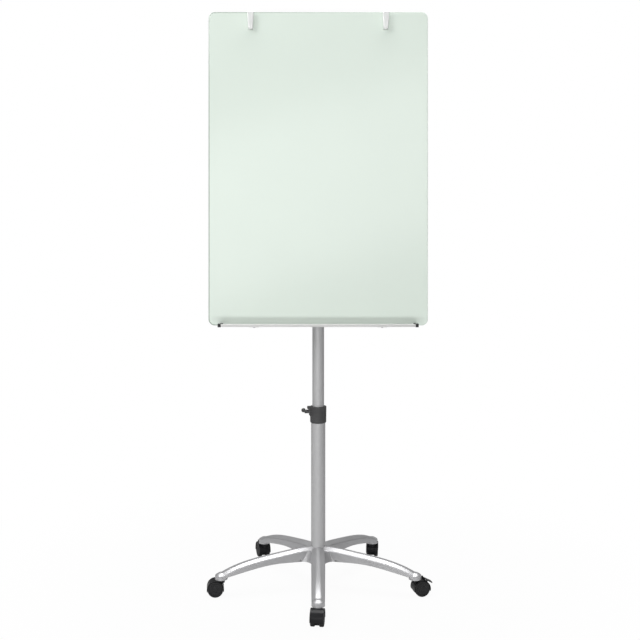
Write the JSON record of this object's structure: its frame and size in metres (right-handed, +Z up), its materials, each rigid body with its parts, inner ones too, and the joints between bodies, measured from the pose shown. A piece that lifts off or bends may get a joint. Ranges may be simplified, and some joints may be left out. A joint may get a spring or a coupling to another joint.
{
  "type": "flip chart easel",
  "caption": "Mobile flip chart easel: glass writing board with pen tray and sliding pad hooks on a telescopic post with a star base on swivel castors.",
  "frame": {"origin": "on the post axis at floor level, where the castors stand", "axes": "+Z up, -Y the writing side of the board, +X to the right of a person who faces the board"},
  "size_m": [0.7104, 0.6806, 1.8453],
  "materials": {
    "glass": "back-painted tempered glass, polished edge",
    "backing_paint": "powder coated steel sheet",
    "base_casting": "silver painted casting, satin",
    "tube_paint": "silver powder coat, satin",
    "tray_aluminium": "silver anodised, satin",
    "hook_metal": "bright nickel plated",
    "fastener_steel": "zinc plated",
    "collar_plastic": "dark grey, fine grain",
    "black_plastic": "black, fine grain",
    "castor_plastic": "black nylon, satin",
    "wheel_plastic": "black nylon tread, satin",
    "inner_plastic": "natural acetal"
  },
  "bodies": {
    "base": {"star_base": "base_casting", "lower_tube": "tube_paint", "tube_plug": "inner_plastic", "base_bolt": "fastener_steel", "base_washer": "fastener_steel", "guide_bush": "inner_plastic", "clamp_collar": "collar_plastic", "pressure_pad": "inner_plastic", "castor_stems": "fastener_steel"},
    "lever": {"clamp_lever": "collar_plastic", "lever_stud": "fastener_steel"},
    "glide": {"glide_plug": "inner_plastic"},
    "mast": {"upper_tube": "tube_paint", "tube_cap": "black_plastic", "glass_panel": "glass", "backing_sheet": "backing_paint", "rail_lower": "tray_aluminium", "rail_upper": "tray_aluminium", "rail_plugs": "black_plastic", "saddle_lower": "base_casting", "saddle_upper": "base_casting", "strap_lower": "base_casting", "strap_upper": "base_casting", "strap_screws": "fastener_steel", "saddle_screws": "fastener_steel", "pen_tray": "tray_aluminium", "tray_bracket_left": "backing_paint", "tray_bracket_right": "backing_paint", "tray_fasteners": "fastener_steel", "tray_cap_left": "black_plastic", "tray_cap_right": "black_plastic"},
    "hook_left": {"hook_left": "hook_metal"},
    "hook_right": {"hook_right": "hook_metal"},
    "thumb_screw_left": {"thumb_screw_left": "fastener_steel"},
    "thumb_screw_right": {"thumb_screw_right": "fastener_steel"},
    "castor_front": {"castor_front_housing": "castor_plastic", "castor_front_axle": "fastener_steel"},
    "castor_front_wheel_a": {"castor_front_wheel_a": "wheel_plastic"},
    "castor_front_wheel_b": {"castor_front_wheel_b": "wheel_plastic"},
    "castor_right": {"castor_right_housing": "castor_plastic", "castor_right_axle": "fastener_steel", "castor_right_pedal_pin": "fastener_steel"},
    "castor_right_wheel_a": {"castor_right_wheel_a": "wheel_plastic"},
    "castor_right_wheel_b": {"castor_right_wheel_b": "wheel_plastic"},
    "castor_right_pedal": {"castor_right_pedal": "castor_plastic"},
    "castor_rear_right": {"castor_rear_right_housing": "castor_plastic", "castor_rear_right_axle": "fastener_steel"},
    "castor_rear_right_wheel_a": {"castor_rear_right_wheel_a": "wheel_plastic"},
    "castor_rear_right_wheel_b": {"castor_rear_right_wheel_b": "wheel_plastic"},
    "castor_rear_left": {"castor_rear_left_housing": "castor_plastic", "castor_rear_left_axle": "fastener_steel", "castor_rear_left_pedal_pin": "fastener_steel"},
    "castor_rear_left_wheel_a": {"castor_rear_left_wheel_a": "wheel_plastic"},
    "castor_rear_left_wheel_b": {"castor_rear_left_wheel_b": "wheel_plastic"},
    "castor_rear_left_pedal": {"castor_rear_left_pedal": "castor_plastic"},
    "castor_left": {"castor_left_housing": "castor_plastic", "castor_left_axle": "fastener_steel"},
    "castor_left_wheel_a": {"castor_left_wheel_a": "wheel_plastic"},
    "castor_left_wheel_b": {"castor_left_wheel_b": "wheel_plastic"}
  },
  "joints": [
    {"name": "mast_slide", "type": "slide", "parent": "base", "child": "glide", "axis": [0, 0, 1], "range_m": [-0.22, 0.1]},
    {"name": "mast_turn", "type": "hinge", "parent": "glide", "child": "mast", "pos_m": [0, 0, 0.4], "axis": [0, 0, 1], "continuous": true},
    {"name": "lever_turn", "type": "hinge", "parent": "base", "child": "lever", "pos_m": [-0.0405, 0, 0.5595], "axis": [-1, 0, 0], "range_deg": [0, 150]},
    {"name": "hook_left_slide", "type": "slide", "parent": "mast", "child": "hook_left", "axis": [1, 0, 0], "range_m": [-0.1, 0.18]},
    {"name": "hook_right_slide", "type": "slide", "parent": "mast", "child": "hook_right", "axis": [1, 0, 0], "range_m": [-0.18, 0.1]},
    {"name": "thumb_screw_left_turn", "type": "hinge", "parent": "hook_left", "child": "thumb_screw_left", "pos_m": [-0.215, -0.035, 1.8085], "axis": [0, 1, 0], "range_deg": [0, 360]},
    {"name": "thumb_screw_right_turn", "type": "hinge", "parent": "hook_right", "child": "thumb_screw_right", "pos_m": [0.215, -0.035, 1.8085], "axis": [0, 1, 0], "range_deg": [0, 360]},
    {"name": "castor_front_swivel", "type": "hinge", "parent": "base", "child": "castor_front", "pos_m": [0, -0.32, 0.05], "axis": [0, 0, 1], "continuous": true},
    {"name": "castor_front_wheel_a_roll", "type": "hinge", "parent": "castor_front", "child": "castor_front_wheel_a", "pos_m": [-0.00226, -0.33836, 0.0245], "axis": [0.9925, -0.1219, 0], "continuous": true},
    {"name": "castor_front_wheel_b_roll", "type": "hinge", "parent": "castor_front", "child": "castor_front_wheel_b", "pos_m": [-0.00226, -0.33836, 0.0245], "axis": [0.9925, -0.1219, 0], "continuous": true},
    {"name": "castor_right_swivel", "type": "hinge", "parent": "base", "child": "castor_right", "pos_m": [0.30434, -0.09889, 0.05], "axis": [0, 0, 1], "continuous": true},
    {"name": "castor_right_wheel_a_roll", "type": "hinge", "parent": "castor_right", "child": "castor_right_wheel_a", "pos_m": [0.32229, -0.09441, 0.0245], "axis": [-0.2419, 0.9703, 0], "continuous": true},
    {"name": "castor_right_wheel_b_roll", "type": "hinge", "parent": "castor_right", "child": "castor_right_wheel_b", "pos_m": [0.32229, -0.09441, 0.0245], "axis": [-0.2419, 0.9703, 0], "continuous": true},
    {"name": "castor_right_pedal_press", "type": "hinge", "parent": "castor_right", "child": "castor_right_pedal", "pos_m": [0.33208, -0.09197, 0.05222], "axis": [-0.2419, 0.9703, 0], "range_deg": [0, 8]},
    {"name": "castor_rear_right_swivel", "type": "hinge", "parent": "base", "child": "castor_rear_right", "pos_m": [0.18809, 0.25888, 0.05], "axis": [0, 0, 1], "continuous": true},
    {"name": "castor_rear_right_wheel_a_roll", "type": "hinge", "parent": "castor_rear_right", "child": "castor_rear_right_wheel_a", "pos_m": [0.19002, 0.27728, 0.0245], "axis": [-0.9945, 0.1045, 0], "continuous": true},
    {"name": "castor_rear_right_wheel_b_roll", "type": "hinge", "parent": "castor_rear_right", "child": "castor_rear_right_wheel_b", "pos_m": [0.19002, 0.27728, 0.0245], "axis": [-0.9945, 0.1045, 0], "continuous": true},
    {"name": "castor_rear_left_swivel", "type": "hinge", "parent": "base", "child": "castor_rear_left", "pos_m": [-0.18809, 0.25888, 0.05], "axis": [0, 0, 1], "continuous": true},
    {"name": "castor_rear_left_wheel_a_roll", "type": "hinge", "parent": "castor_rear_left", "child": "castor_rear_left_wheel_a", "pos_m": [-0.19411, 0.27638, 0.0245], "axis": [-0.9455, -0.3256, 0], "continuous": true},
    {"name": "castor_rear_left_wheel_b_roll", "type": "hinge", "parent": "castor_rear_left", "child": "castor_rear_left_wheel_b", "pos_m": [-0.19411, 0.27638, 0.0245], "axis": [-0.9455, -0.3256, 0], "continuous": true},
    {"name": "castor_rear_left_pedal_press", "type": "hinge", "parent": "castor_rear_left", "child": "castor_rear_left_pedal", "pos_m": [-0.1974, 0.28592, 0.05222], "axis": [-0.9455, -0.3256, 0], "range_deg": [0, 8]},
    {"name": "castor_left_swivel", "type": "hinge", "parent": "base", "child": "castor_left", "pos_m": [-0.30434, -0.09889, 0.05], "axis": [0, 0, 1], "continuous": true},
    {"name": "castor_left_wheel_a_roll", "type": "hinge", "parent": "castor_left", "child": "castor_left_wheel_a", "pos_m": [-0.32274, -0.10082, 0.0245], "axis": [0.1045, -0.9945, 0], "continuous": true},
    {"name": "castor_left_wheel_b_roll", "type": "hinge", "parent": "castor_left", "child": "castor_left_wheel_b", "pos_m": [-0.32274, -0.10082, 0.0245], "axis": [0.1045, -0.9945, 0], "continuous": true}
  ]
}
